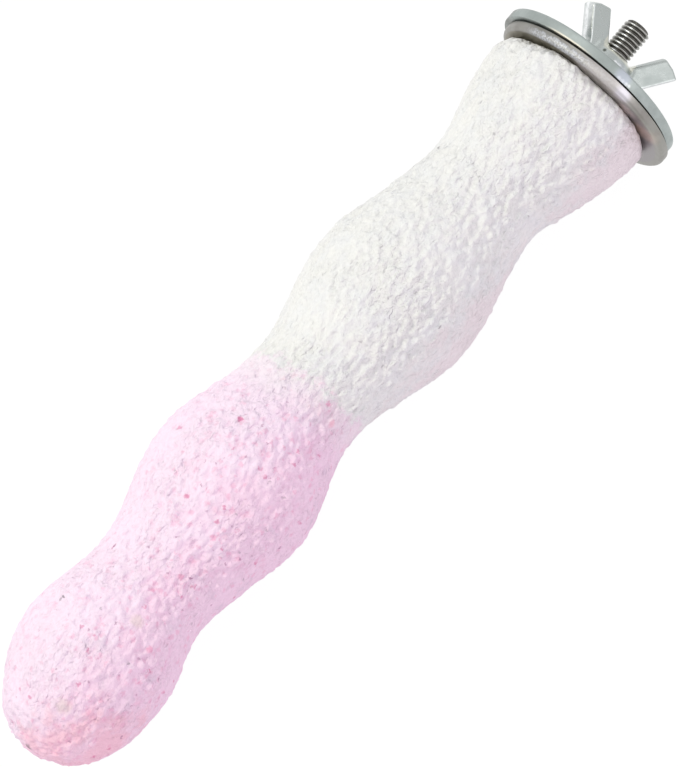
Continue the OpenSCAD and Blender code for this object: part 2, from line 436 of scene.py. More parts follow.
def make_bolt():
    """The whole hanger bolt: machine thread, then the wood screw end down to its point."""
    x = np.append(np.arange(BOLT_LOW[0] + STUD_STEP, BOLT_TIP, STUD_STEP), BOLT_TIP)
    xs, a = np.meshgrid(x, turns(STUD_SIDES), indexing="ij")
    machine = BOLT_R - THREAD_DEPTH * (1 - thread(xs, a, PITCH, THREAD_FLATS))
    screw = SCREW_R - SCREW_DEPTH * (1 - thread(xs, a, SCREW_PITCH, SCREW_FLATS))
    point = SCREW_R * np.clip((xs - BOLT_LOW[0]) / SCREW_TAPER, 0, 1)
    screw = np.minimum(screw, np.maximum(point, SCREW_POINT))
    end = BOLT_R - BEVEL * (1 - np.clip((BOLT_TIP - xs) / BEVEL, 0, 1))
    r = np.minimum(np.where(xs > MACHINE_END, machine, screw), end)
    points = round_axis(xs, r, a).reshape(-1, 3)
    faces = [f[::-1] for f in band_faces(len(x), STUD_SIDES)]
    faces += cap_faces(len(points), len(points) + 1, len(x), STUD_SIDES, flip=True)
    points = np.concatenate([points, [[BOLT_LOW[0], 0, 0], [BOLT_TIP, 0, 0]]])
    return make_object("threaded_bolt", points, faces, smooth_angle=75)


# Washers

WASHER_SIDES = 288
ARC_STEPS = 6
HOLE_EDGE, HOLE_SLACK = 0.15, 0.6
# Rings that keep the faces flat: beside the hole, at a share of the radius, beside the rim
HOLE_BAND, FACE_SHARE, RIM_BAND = 2, 0.6, 1.5
# Round of each washer's edge on the perch's side, and on the nut's side
INNER_ROUNDS, OUTER_ROUNDS = (0.9, 0.08), (0.12, 0.5)
# How far the washers hang to one side of the bolt, and how much smaller the inner one is
INNER_HANG, OUTER_HANG = -0.45, 0.45
INNER_TRIM = 0.3


def arc(x, r, radius, start, end):
    """Points of a quarter round about (x, r), from one angle to another in degrees."""
    turn = np.radians(np.linspace(start, end, ARC_STEPS))
    return [(x + radius * math.cos(a), r + radius * math.sin(a)) for a in turn]


def make_washer(name, low, high, rounds, hang, trim=0.0):
    """A stamped washer that fills a CAD washer's box, but for hang and trim."""
    roll, burr = rounds
    hole = BOLT_R + HOLE_SLACK
    x0, x1, r = low[0], high[0], high[2] - trim
    profile = [(x0 + HOLE_EDGE, hole), (x0, hole + HOLE_EDGE)]
    profile += [(x0, hole + HOLE_BAND), (x0, r * FACE_SHARE), (x0, r - roll - RIM_BAND)]
    profile += arc(x0 + roll, r - roll, roll, 180, 90)
    profile += arc(x1 - burr, r - burr, burr, 90, 0)
    profile += [(x1, r - burr - RIM_BAND), (x1, r * FACE_SHARE), (x1, hole + HOLE_BAND)]
    profile += [(x1, hole + HOLE_EDGE), (x1 - HOLE_EDGE, hole)]
    x, r = np.array(profile[::-1]).T[:, :, None]
    points = round_axis(x, r, turns(WASHER_SIDES), hang).reshape(-1, 3)
    return make_object(name, points, band_faces(len(profile), WASHER_SIDES, closed=True))


# Wing nut

FOOT_R, FOOT_RIM = 6.7, 0.7
FLARE_R, FLARE_H = 5.3, 3.0
HUB_R, HUB_H = 4.7, 6.7
HUB_CHAMFER, HUB_ROUND = 0.8, 0.25
BEVEL_FOOT = HUB_H - HUB_CHAMFER
BORE_R = BOLT_R + 0.06
SEAT_ROUND, BORE_ROUND = 0.12, 0.15
WING_WIDTH = 5.1
WING_OUTER, WING_INNER = 4.9, 2.8
WING_THINNEST = WING_INNER / 3
WING_ROOT, WING_ROOT_R = 1.7, BORE_R + 0.3
WING_FILLET = 5.0
OUTER_CORNER, INNER_CORNER = 0.6, 0.7
CORNER_STEPS = 7
# How far a wing's end falls off towards its inner corner, and how far that end and the edges bulge
TIP_FALL, TIP_BULGE = 1.0, 0.4
CROWN, CROWN_REACH = 0.3, 1.2
EDGE_ROUND = 0.2
BLEND = 1.6
WING_TURN = 32
# Reach, top and lean of each wing: the one on the photo's right, then the one on its left
WINGS = ((-1, 13.5, 15.0, 34), (1, 12.4, 14.0, 38))

NUT_GRID = 0.2
NUT_LOW, NUT_HIGH = np.array([-14.2, -7.4, -0.5]), np.array([15.0, 7.4, 15.6])
SETTLE_ROUNDS, SETTLE_STEP, SETTLE_MOST, SETTLE_SLOPE = 3, 0.01, 0.1, 0.3

# Painted highlights, as spans where each starts and is full: across a wing's edge about the middle
# given first, from its root, from its top and into its edge, then on the foot's rim and below its top
HIGHLIGHT_MIDDLE, HIGHLIGHT_ACROSS, HIGHLIGHT_LEAST = -0.15, (1.25, 0.45), 0.45
HIGHLIGHT_ROOT, HIGHLIGHT_TOP, HIGHLIGHT_EDGE = (2.6, 5.0), (-1.2, -3.0), (-0.75, -0.45)
FOOT_EDGE, FOOT_TOP, FOOT_HIGHLIGHT = (-0.6, -0.25), (1.2, 0.7), 0.7
# The hub's bevel, below its edge and past its radius
BEVEL_BELOW, BEVEL_OUT = 0.25, (0.3, 0.1)


def outline_distance(outline, x, y):
    """Signed distance to a closed outline, negative inside."""
    best = np.full(x.shape, np.inf)
    inside = np.zeros(x.shape, bool)
    for (ax, ay), (bx, by) in zip(outline, outline[1:] + outline[:1]):
        ex, ey = bx - ax, by - ay
        share = np.clip(((x - ax) * ex + (y - ay) * ey) / (ex * ex + ey * ey), 0, 1)
        best = np.minimum(best, (x - ax - ex * share) ** 2 + (y - ay - ey * share) ** 2)
        if ay != by:
            crosses = (ay > y) != (by > y)
            inside ^= crosses & (x < ex * (y - ay) / ey + ax)
    return np.where(inside, -1, 1) * np.sqrt(best)


def round_max(a, b, r):
    """The larger of two distances, with a round of r where they meet."""
    return np.minimum(np.maximum(a, b), -r) + np.hypot(np.maximum(a + r, 0), np.maximum(b + r, 0))


def soft_min(a, b, k):
    """The smaller of two distances, blended over k."""
    h = np.clip(0.5 + 0.5 * (b - a) / k, 0, 1)
    return b * (1 - h) + a * h - k * h * (1 - h)


def rounded_corner(at, before, after, r):
    """Points along the round of one corner of an outline."""
    at, before, after = (np.array(p, float) for p in (at, before, after))
    u = (before - at) / np.linalg.norm(before - at)
    v = (after - at) / np.linalg.norm(after - at)
    half = math.acos(np.clip(u @ v, -1, 1)) / 2
    centre = at + (u + v) / np.linalg.norm(u + v) * r / math.sin(half)
    start = at + u * r / math.tan(half) - centre
    finish = at + v * r / math.tan(half) - centre
    turn = math.pi - 2 * half
    s = turn * np.linspace(0, 1, CORNER_STEPS)[:, None]
    points = centre + (np.sin(turn - s) * start + np.sin(s) * finish) / math.sin(turn)
    return list(map(tuple, points))


def wing_distance(u, v, h, reach, top, lean):
    """Distance to one wing, which reaches out along +u and rises along h."""
    lean = math.radians(lean)
    along = np.array([math.sin(lean), math.cos(lean)])
    across = along[::-1] * (1, -1)
    outer_tip = np.array([reach, top - WING_WIDTH * along[0]])
    inner_tip = outer_tip - across * WING_WIDTH - along * TIP_FALL
    crest = (outer_tip + inner_tip) / 2 + along * TIP_BULGE
    inner_root = inner_tip - along * (inner_tip[1] - HUB_H) / along[1]
    outer_root = outer_tip - along * (outer_tip[1] - WING_FILLET) / along[1]
    outline = [(WING_ROOT_R, WING_ROOT), (FOOT_R - FOOT_RIM, WING_ROOT), tuple(outer_root)]
    outline += rounded_corner(outer_tip, outer_root, crest, OUTER_CORNER)
    outline += [tuple(crest)]
    outline += rounded_corner(inner_tip, crest, inner_root, INNER_CORNER)
    outline += [tuple(inner_root), (WING_ROOT_R, BEVEL_FOOT)]
    flat = outline_distance(outline, u, h)
    from_edge = (outer_tip[0] - u) * across[0] + (outer_tip[1] - h) * across[1]
    from_edge = np.clip(from_edge, 0, WING_WIDTH + HUB_R)
    half = (WING_OUTER - (WING_OUTER - WING_INNER) * from_edge / WING_WIDTH) / 2
    half = np.maximum(half, WING_THINNEST)
    flat = flat + CROWN * np.clip(v / half, -CROWN_REACH, CROWN_REACH) ** 2
    return round_max(flat, np.abs(v) - half, EDGE_ROUND)


def nut_distance(p):
    """Distance to the wing nut, at points (u, v, h): along the wings, across them, above the seat."""
    u, v, h = p[:, 0], p[:, 1], p[:, 2]
    rho = np.hypot(u, v)
    e = HUB_ROUND
    hub = outline_distance(
        [(0, e), (FOOT_R - e, e), (FOOT_R - e, FOOT_RIM), (FLARE_R - e, FLARE_H),
         (HUB_R - e, BEVEL_FOOT), (HUB_R - HUB_CHAMFER - e, HUB_H - e), (0, HUB_H - e)],
        rho, h,
    ) - e
    wings = [wing_distance(side * u, v, h, reach, top, lean) for side, reach, top, lean in WINGS]
    body = soft_min(hub, np.minimum(*wings), BLEND)
    body = round_max(body, -h, SEAT_ROUND)
    return round_max(body, BORE_R - rho, BORE_ROUND)


def crossings(field, axis):
    """Where the field changes sign between neighbours along an axis, and how far along."""
    a = np.moveaxis(field, axis, 0)
    first, second = a[:-1], a[1:]
    change = (first < 0) != (second < 0)
    share = np.where(change, first / np.where(change, first - second, 1), 0)
    return np.moveaxis(change, 0, axis), np.moveaxis(share, 0, axis)


def net_points(found, shape):
    """One point for each cell that the surface passes through, in cells, and which cells these are."""
    total = np.zeros((*shape, 3))
    count = np.zeros(shape)
    for axis, (change, share) in enumerate(found):
        for offset in np.ndindex(2, 2):
            corner = np.insert(offset, axis, 0)
            window = tuple(slice(c, c + n) for c, n in zip(corner, shape))
            place = np.tile(corner.astype(float), (*shape, 1))
            place[..., axis] = share[window]
            total += place * change[window][..., None]
            count += change[window]
    used = count > 0
    return np.argwhere(used) + total[used] / count[used][:, None], used


def surface_net(field, low, step):
    """Points and quads of the surface where the field is zero."""
    shape = np.array(field.shape) - 1
    found = [crossings(field, axis) for axis in range(3)]
    points, used = net_points(found, shape)
    index = np.cumsum(used).reshape(shape) - 1
    faces = []
    for axis, (change, _) in enumerate(found):
        b, c = [(axis + 1) % 3, (axis + 2) % 3]
        at = np.argwhere(change)
        at = at[(at[:, b] > 0) & (at[:, c] > 0) & (at[:, b] < shape[b]) & (at[:, c] < shape[c])]
        away = field[tuple(at.T)] < 0
        around = np.zeros((4, 3), int)
        around[:, [b, c]] = (-1, -1), (0, -1), (0, 0), (-1, 0)
        quad = index[tuple(np.moveaxis(at[:, None] + around, -1, 0))]
        quad[~away] = quad[~away][:, ::-1]
        faces += quad.tolist()
    return low + step * points, faces


def settle(points, distance):
    """Moves points onto the surface where the distance is zero."""
    ways = SETTLE_STEP * np.eye(3)
    for _ in range(SETTLE_ROUNDS):
        slope = np.stack([distance(points + way) - distance(points - way) for way in ways], 1)
        slope /= 2 * SETTLE_STEP
        slope /= np.maximum(np.linalg.norm(slope, axis=1)[:, None], SETTLE_SLOPE) ** 2
        gap = np.clip(distance(points), -SETTLE_MOST, SETTLE_MOST)
        points = points - slope * gap[:, None]
    return points


def nut_painted_highlight(u, v, h):
    """How far each point is painted bright as a highlight, on the wings' outer edges and the foot's
    rim.
    """
    across = ramp(np.abs(v - HIGHLIGHT_MIDDLE), *HIGHLIGHT_ACROSS)
    painted_highlight = np.zeros(len(u))
    for side, reach, top, lean in WINGS:
        lean = math.radians(lean)
        sine, cosine = math.sin(lean), math.cos(lean)
        in_wing = (side * u - reach) * cosine - (h - top + WING_WIDTH * sine) * sine
        along = ramp(h, *HIGHLIGHT_ROOT) * ramp(h - top, *HIGHLIGHT_TOP)
        edge = ramp(in_wing, *HIGHLIGHT_EDGE) * np.maximum(across, HIGHLIGHT_LEAST)
        painted_highlight = np.maximum(painted_highlight, edge * along)
    foot = ramp(np.hypot(u, v) - FOOT_R, *FOOT_EDGE) * ramp(h, *FOOT_TOP)
    return np.maximum(painted_highlight, foot * FOOT_HIGHLIGHT)


def hub_bevel(u, v, h):
    """1 on the hub's bevel and above it."""
    above = ramp(h, BEVEL_FOOT - BEVEL_BELOW, BEVEL_FOOT)
    return above * ramp(np.hypot(u, v) - HUB_R, *BEVEL_OUT)


def make_nut():
    """The wing nut as one smooth mesh, on the outer washer."""
    counts = np.ceil((NUT_HIGH - NUT_LOW) / NUT_GRID).astype(int) + 1
    axes = [NUT_LOW[k] + NUT_GRID * np.arange(counts[k]) for k in range(3)]
    grid = np.stack(np.meshgrid(*axes, indexing="ij"), -1).reshape(-1, 3)
    points, faces = surface_net(nut_distance(grid).reshape(counts), NUT_LOW, NUT_GRID)
    u, v, h = settle(points, nut_distance).T
    a = math.radians(WING_TURN)
    placed = np.stack([
        NUT_SEAT + h,
        u * math.cos(a) - v * math.sin(a),
        u * math.sin(a) + v * math.cos(a),
    ], 1)
    made = make_object("winged_nut", placed, faces, smooth_angle=50)
    # where the wings' edges and the foot's rim get painted highlights
    attribute(made, "painted_highlight", nut_painted_highlight(u, v, h))
    attribute(made, "bevel", hub_bevel(u, v, h))
    return made


# Materials

# Most of a noise lies between these
NOISE_LOW, NOISE_HIGH = 0.3, 0.7
MARK_CORE = 0.35


class Nodes:
    """A node tree under construction. Its methods add nodes and give the socket that these end in."""

    def __init__(self, tree):
        self.tree = tree

    def put(self, socket, value):
        """Sets a socket to a value, or links another socket to it."""
        if isinstance(value, bpy.types.NodeSocket):
            self.tree.links.new(value, socket)
        else:
            socket.default_value = value

    def add(self, kind, inputs=None, **settings):
        """A new shader node, with its settings and then its inputs."""
        made = self.tree.nodes.new("ShaderNode" + kind)
        for key, value in settings.items():
            setattr(made, key, value)
        for key, value in (inputs or {}).items():
            self.put(made.inputs[key], value)
        return made

    def math(self, operation, a, b):
        return self.add("Math", {0: a, 1: b}, operation=operation).outputs[0]

    def plus(self, a, b):
        return self.math("ADD", a, b)

    def times(self, a, b):
        return self.math("MULTIPLY", a, b)

    def vector(self, operation, a, b=None, scale=None):
        """Vector arithmetic. Its result is a number for DISTANCE, LENGTH and DOT_PRODUCT."""
        inputs = {0: a, 1: b, "Scale": scale}
        inputs = {key: value for key, value in inputs.items() if value is not None}
        made = self.add("VectorMath", inputs, operation=operation)
        return made.outputs["Value" if operation in ("DISTANCE", "LENGTH", "DOT_PRODUCT") else 0]

    def between(self, share, a, b):
        """A number on the way from a to b."""
        return self.add("MapRange", {"Value": share, "To Min": a, "To Max": b}).outputs["Result"]

    def span(self, value, low, high, to_low=0.0, to_high=1.0):
        """A smooth rise or fall from to_low to to_high, as the value goes from low to high."""
        return self.add("MapRange", {
            "Value": value, "From Min": low, "From Max": high, "To Min": to_low, "To Max": to_high,
        }, interpolation_type="SMOOTHSTEP").outputs["Result"]

    def mix(self, share, a, b):
        """A colour on the way from a to b."""
        return self.add("Mix", {0: share, 6: a, 7: b}, data_type="RGBA").outputs[2]


class Shading(Nodes):
    """The nodes of one material."""

    def __init__(self, name):
        self.material = bpy.data.materials.new(name)
        self.material.use_nodes = True
        super().__init__(self.material.node_tree)
        self.shader = self.tree.nodes["Principled BSDF"]

    def position(self):
        """Place on the object, in millimetres."""
        return self.vector("SCALE", self.add("TexCoord").outputs["Object"], scale=MESH_UNIT)

    def parts(self, place):
        return self.add("SeparateXYZ", {"Vector": place}).outputs

    def stored(self, name):
        return self.add("Attribute", attribute_name=name).outputs["Fac"]

    def noise(self, vector, size, detail=2.0, roughness=0.5):
        return self.add("TexNoise", {
            "Vector": vector, "Scale": 1 / size, "Detail": detail, "Roughness": roughness}).outputs[0]

    def sway(self, noise, amount):
        """A noise turned to a number of -amount to amount."""
        return self.span(noise, NOISE_LOW, NOISE_HIGH, -amount, amount)

    def bent(self, vector, size, amount):
        """The vector pushed about by noise, in millimetres."""
        made = self.add("TexNoise", {"Vector": vector, "Scale": 1 / size, "Detail": 2.0})
        centred = self.vector("SUBTRACT", made.outputs["Color"], (0.5, 0.5, 0.5))
        return self.vector("ADD", vector, self.vector("SCALE", centred, scale=amount * 2))

    def grains(self, vector, size, share, reach, amount, core=0.3):
        """Scattered grains: a cell's size, the share of cells left out, and a grain's reach in cells,
        strength, and share of it at full strength."""
        made = self.add("TexVoronoi", {"Vector": vector, "Scale": 1 / size})
        dot = self.span(made.outputs["Distance"], reach, reach * core, 0, amount)
        own = self.add("SeparateColor", {"Color": made.outputs["Color"]}).outputs[0]
        return self.times(dot, self.span(own, share, share + 0.01))

    def soft_mark(self, colour, vector, at, radius, mark, strength):
        """The colour with one soft mark on it."""
        away = self.vector("DISTANCE", vector, at)
        return self.mix(self.span(away, radius, radius * MARK_CORE, 0, strength), colour, mark)

    def soft_marked(self, colour, vector, soft_marks):
        for soft_mark in soft_marks:
            colour = self.soft_mark(colour, vector, *soft_mark)
        return colour

    def from_axis(self, place):
        """Distance from the bolt's axis."""
        _, y, z = self.parts(place)
        return self.vector("LENGTH", self.add("CombineXYZ", {"Y": y, "Z": z}).outputs[0])

    def bump(self, height, strength, distance, normal=None):
        made = self.add("Bump", {
            "Height": height, "Strength": strength, "Distance": distance * MM})
        if normal is not None:
            self.put(made.inputs["Normal"], normal)
        return made.outputs[0]

    def finish(self, **values):
        """Sets the shader's own sockets and gives the material."""
        for key, value in values.items():
            self.put(self.shader.inputs[key.replace("_", " ")], value)
        return self.material


def rgb(r, g, b):
    """A colour given as 0 to 255, as a screen shows it, turned to the shader's own scale."""
    def linear(c):
        c /= 255
        return c / 12.92 if c <= 0.04045 else ((c + 0.055) / 1.055) ** 2.4
    return (linear(r), linear(g), linear(b), 1.0)


# Cast mineral

WHITE = rgb(245, 246, 243)
WHITE_COOL = rgb(242, 244, 244)
# Dust with painted shade, for the white's hollows
WHITE_DUST_SHADE = rgb(228, 229, 228)
# Pink painted shade for the white's flank away from +Y
WHITE_SHADE_BLUSH = rgb(246, 239, 240)
PINK = rgb(255, 236, 252)
# Deeper pink painted shade for the flank away from +Y
PINK_SHADE = rgb(255, 226, 245)
PINK_DENSE = rgb(253, 208, 231)
# Dust with painted shade, for the pink's hollows
PINK_DUST_SHADE = rgb(246, 208, 230)
# Lilac painted shade
LILAC_SHADE = rgb(216, 200, 218)
SALMON = rgb(255, 202, 217)
ROSE = rgb(246, 178, 208)
MAGENTA = rgb(226, 118, 166)
MAUVE = rgb(178, 128, 162)
GREY_GRAIN = rgb(146, 138, 146)
OLIVE = rgb(224, 214, 184)
SLATE = rgb(120, 116, 122)

# A NOISE is a size, a detail and a roughness. A SPAN is where a change starts and ends, and the two
# amounts that it goes between. A SWAY is how far noise moves that
JOINT_NOISE, JOINT_SPAN = (2.4, 4, 0.65), (0.28, 0.72, -2.2, 2.2)
THIN_PINK_SPAN, FULL_PINK_SPAN = (-1.6, 1.8, 0, 0.55), (2.0, 22.0, 0, 0.45)
MOTTLE_NOISE, MOTTLE_SPAN = (4.0, 4, 0.6), (0.35, 0.7)
# Pink painted shade on the white's flank away from +Y: where it starts and is full, and its noise sway
SHADE_BLUSH_SPAN, SHADE_BLUSH_SWAY = (-11, -16), 2
PATCH_NOISE = (7.0, 4, 0.6)
# Deeper pink painted shade on the flank away from +Y: where it starts and is full, and its noise sway
PINK_SHADE_SPAN, PINK_SHADE_SWAY = (5.0, -9.0), 5
DENSE_NOISE, DENSE_SPAN = (3.4, 4, 0.62), (0.56, 0.76, 0, 0.8)
# Lilac patches: a random tone, kept off the lit +Y flank as painted shade
LILAC_SHADE_NOISE, LILAC_SHADE_SPAN, LILAC_SHADE_SIDE = (5.2, 3, 0.6), (0.55, 0.75, 0, 0.5), (10, -4, -0.15, 0)
# The tip's salmon lies along a slant, given by what x and y count for, and the y share lays it as
# painted shade on the flank away from +Y
TIP_X, TIP_Y, TIP_SPAN, TIP_SWAY = -0.8, -0.9, (143, 154, 0, 0.7), 6
# What grains() takes, and a colour
PINK_GRAINS = (
    ((2.0, 0.42, 0.42, 0.45), ROSE), ((3.3, 0.66, 0.21, 0.6), MAGENTA), ((2.6, 0.5, 0.17, 0.6), MAUVE),
)
# Grains fade towards the lit +Y flank as painted light
LIT_SIDE_FADE = (13.0, 1.0, 0.45, 1.0)
GREY_GRAINS = (2.4, 0.93, 0.2, 0.38, 0.4)
# Dust and painted shade in the hollows
DUST_SHADE_SPAN = (-0.15, -0.6, 0, 0.25)
GRAIN_BEND, MARK_BEND = (0.8, 0.8), (0.9, 0.7)
COARSE_NOISE, COARSE_DEPTH = (1.35, 3, 0.5), 1.5
FINE_NOISE, FINE_DEPTH = (0.6, 2, 0.6), 0.2
UNEVEN_NOISE, UNEVEN_SPAN = (12.0, 2), (0.3, 0.7, 0.65, 1.0)

# Single grains and stains: distance along the perch, angle from +Z towards -Y, radius, colour, strength
MARKS = (
    (104.2, -12, 0.9, MAGENTA, 0.8), (124.0, -8, 1.0, MAGENTA, 0.7), (110.0, 20, 0.8, MAGENTA, 0.6),
    (124.2, 20, 0.7, MAGENTA, 0.6), (112.5, -46, 0.9, MAGENTA, 0.5), (127.2, 26, 1.0, ROSE, 0.7),
    (137.5, 27, 0.9, MAGENTA, 0.5), (143.5, 14, 1.1, ROSE, 0.8), (154.0, 39, 1.2, ROSE, 0.8),
    (156.4, -38, 0.55, SLATE, 0.7), (157.2, -38, 0.5, SLATE, 0.5), (140.2, -42, 0.5, MAUVE, 0.9),
    (140.9, -43, 0.5, MAUVE, 0.8), (118.0, 73, 0.6, MAUVE, 0.7), (136.2, 34, 0.5, MAUVE, 0.8),
    (159.5, 31, 0.6, SLATE, 0.6), (183.0, -8, 1.3, SLATE, 0.6), (151.2, 19, 2.1, OLIVE, 0.32),
    (175.0, 14, 2.4, OLIVE, 0.28), (61.2, 51, 0.5, SLATE, 0.6), (21.8, -13, 0.5, SLATE, 0.4),
    (29.3, -57, 0.7, SLATE, 0.6), (88.6, 33, 0.9, ROSE, 0.8), (89.6, 40, 1.0, ROSE, 0.7),
    (91.0, 47, 1.2, SALMON, 0.8),
)


def mark_place(t, turn):
    """Point of the smooth perch at a distance along it, and at an angle from +Z towards -Y."""
    t, angle = np.float64(t), np.radians(90 + turn)
    return tuple(perch_points(t, angle, float(perch_r(t) + fullness(t, angle))))


def pinkness(s, place, joint):
    """Share of pink. It starts thin and ragged at the joint, and is full further on."""
    fray = s.plus(s.span(s.noise(place, *JOINT_NOISE), *JOINT_SPAN), joint)
    return s.plus(s.span(fray, *THIN_PINK_SPAN), s.span(s.plus(fray, joint), *FULL_PINK_SPAN))


def white_mineral(s, place, y):
    """Off-white with a cool mottle, and a faint pink painted shade on the flank away from +Y."""
    mottle = s.noise(place, *MOTTLE_NOISE)
    white = s.mix(s.span(mottle, *MOTTLE_SPAN), WHITE, WHITE_COOL)
    # pink painted shade on the flank away from +Y
    return s.mix(s.span(s.plus(s.sway(mottle, SHADE_BLUSH_SWAY), y), *SHADE_BLUSH_SPAN), white, WHITE_SHADE_BLUSH)


def pink_mineral(s, place, ragged, x, y):
    """Pale pink, deeper in patches, with painted shade of deeper pink and lilac on the flank away from
    +Y, a salmon tip that is deeper there, and rose and magenta grains faded by painted light towards
    +Y.
    """
    patches = s.noise(place, *PATCH_NOISE)
    # deeper pink painted shade on the flank away from +Y
    pink = s.mix(s.span(s.plus(s.sway(patches, PINK_SHADE_SWAY), y), *PINK_SHADE_SPAN), PINK, PINK_SHADE)
    pink = s.mix(s.span(s.noise(place, *DENSE_NOISE), *DENSE_SPAN), pink, PINK_DENSE)
    # lilac patches, kept off the lit +Y flank as painted shade
    lilac_shade_clouds = s.plus(s.noise(place, *LILAC_SHADE_NOISE), s.span(y, *LILAC_SHADE_SIDE))
    pink = s.mix(s.span(lilac_shade_clouds, *LILAC_SHADE_SPAN), pink, LILAC_SHADE)
    # salmon towards the tip, deeper towards -Y as painted shade
    tip_and_shade_side = s.plus(s.plus(s.times(x, TIP_X), s.times(y, TIP_Y)), s.sway(patches, TIP_SWAY))
    pink = s.mix(s.span(tip_and_shade_side, *TIP_SPAN), pink, SALMON)
    # grains fade towards the lit +Y flank as painted light
    lit_fade = s.span(y, *LIT_SIDE_FADE)
    for grains, colour in PINK_GRAINS:
        pink = s.mix(s.times(s.grains(ragged, *grains), lit_fade), pink, colour)
    return pink


def mineral(name, marks):
    """Cast mineral: white before the joint and pink past it, rough, with dust and painted shade in its
    hollows.
    """
    s = Shading(name)
    place = s.position()
    x, y, _ = s.parts(place)
    ragged = s.bent(place, *GRAIN_BEND)
    share = pinkness(s, place, s.stored("joint"))
    colour = s.mix(share, white_mineral(s, place, y), pink_mineral(s, place, ragged, x, y))
    colour = s.mix(s.grains(ragged, *GREY_GRAINS), colour, GREY_GRAIN)
    # the hollows take dust and painted shade
    hollow_dust_shade = s.span(s.stored("height"), *DUST_SHADE_SPAN)
    colour = s.mix(hollow_dust_shade, colour, s.mix(share, WHITE_DUST_SHADE, PINK_DUST_SHADE))
    soft_marks = [(mark_place(t, turn), *rest) for t, turn, *rest in marks]
    colour = s.soft_marked(colour, s.bent(place, *MARK_BEND), soft_marks)

    grain = s.vector("MULTIPLY", place, GRAIN_WAY)
    uneven = s.span(s.noise(place, *UNEVEN_NOISE), *UNEVEN_SPAN)
    normal = s.bump(s.noise(grain, *COARSE_NOISE), uneven, COARSE_DEPTH)
    normal = s.bump(s.noise(grain, *FINE_NOISE), uneven, FINE_DEPTH, normal)
    return s.finish(Base_Color=colour, Normal=normal, Roughness=0.92, Specular_IOR_Level=0.2)


# Metals

CLOUD_SPAN = (0.35, 0.7)
ZINC_NOISE, ZINC_SPECKS = (3.2, 4, 0.6), (0.5, 3, 0.6)
# White for painted highlights
HIGHLIGHT_ZINC = rgb(252, 254, 255)
# Cream painted reflection on the hub's cut bevel, and how much of it shows
BEVEL_REFLECTION, BEVEL_REFLECTION_SHARE = rgb(216, 216, 204), 0.8
# Noise that breaks up the painted highlights
HIGHLIGHT_NOISE, HIGHLIGHT_SPAN = (1.3, 3), (0.3, 0.6, 0.5, 1.0)
GLOSS_BELOW, GLOSS_ABOVE = 0.05, 0.08
# Pale and dull colour, and roughness
PLATED_ZINC = (rgb(175, 183, 181), rgb(167, 175, 173), 0.46)
FORGED_ZINC = (rgb(186, 192, 190), rgb(178, 185, 183), 0.28)

# Painted highlights, painted sheen and painted shade: point, radius, colour and strength
RIM_PAINTED_LIGHT = (
    ((0.7, -8.1, 20.2), 0.75, HIGHLIGHT_ZINC, 0.9), ((0.75, -9.0, 19.8), 0.75, HIGHLIGHT_ZINC, 0.9),
    ((0.85, -9.9, 19.4), 0.7, HIGHLIGHT_ZINC, 0.8), ((0.95, -10.6, 19.0), 0.6, HIGHLIGHT_ZINC, 0.7),
    ((1.6, -8.6, 20.0), 2.6, rgb(196, 201, 214), 0.7),
    # painted shade where the rim faces away towards +Y
    ((1.4, 22.2, 3.0), 7.5, rgb(142, 144, 141), 0.9),
)
HUB_PAINTED_LIGHT = (
    # painted highlights on the hub
    ((7.2, -1.9, 4.65), 0.65, HIGHLIGHT_ZINC, 1.0), ((7.2, -3.0, 4.0), 0.8, HIGHLIGHT_ZINC, 1.0),
    ((7.2, -2.5, 4.35), 0.6, HIGHLIGHT_ZINC, 0.9), ((9.0, -3.9, 2.0), 0.6, HIGHLIGHT_ZINC, 0.9),
    # a dark painted shadow in a dent, and a pale painted sheen on the hub's flank
    ((7.95, 1.5, 4.6), 0.55, rgb(84, 88, 80), 0.9), ((6.0, -3.6, 4.0), 3.2, rgb(186, 190, 202), 0.5),
)
# The plated washer's burr, painted with a cream highlight: the highlight, how far it reaches along x,
# and how far inside the rim it starts
BURR_HIGHLIGHT = ((0.4, 5.2, 21.1), 7.0, rgb(226, 221, 209), 0.9)
BURR_HIGHLIGHT_SPAN, BURR_HIGHLIGHT_DEPTH = (0.85, 0.6), (1, 0.6)


def burr_highlight_share(s, place):
    """1 along the plated washer's edge on the perch's side."""
    near = s.span(s.from_axis(place), *(WASHER_R - d for d in BURR_HIGHLIGHT_DEPTH))
    return s.times(s.span(s.parts(place)[0], *BURR_HIGHLIGHT_SPAN), near)


def zinc(name, finish, soft_marks, burr=False):
    """Zinc plate: a fine mottle in colour and gloss, with painted highlights, a painted reflection on
    the cut bevel, and painted light and shade in soft marks.
    """
    pale, dull, rough = finish
    s = Shading(name)
    place = s.position()
    cloud = s.noise(place, *ZINC_NOISE)
    colour = s.mix(s.span(cloud, *CLOUD_SPAN), pale, dull)
    # painted highlights on the wings' edges and the foot's rim
    painted_highlight = s.times(s.stored("painted_highlight"), s.span(s.noise(place, *HIGHLIGHT_NOISE), *HIGHLIGHT_SPAN))
    colour = s.mix(painted_highlight, colour, HIGHLIGHT_ZINC)
    # cream painted reflection on the cut bevel
    colour = s.mix(s.times(s.stored("bevel"), BEVEL_REFLECTION_SHARE), colour, BEVEL_REFLECTION)
    # painted highlights, sheen and shade, as soft marks
    colour = s.soft_marked(colour, place, soft_marks)
    # cream painted highlight along the edge on the perch's side
    if burr:
        colour = s.mix(burr_highlight_share(s, place), colour, s.soft_mark(colour, place, *BURR_HIGHLIGHT))
    gloss = s.span(cloud, NOISE_LOW, NOISE_HIGH, rough - GLOSS_BELOW, rough + GLOSS_ABOVE)
    normal = s.bump(s.noise(place, *ZINC_SPECKS), 0.12, 0.1)
    return s.finish(Base_Color=colour, Metallic=1.0, Roughness=gloss, Normal=normal)


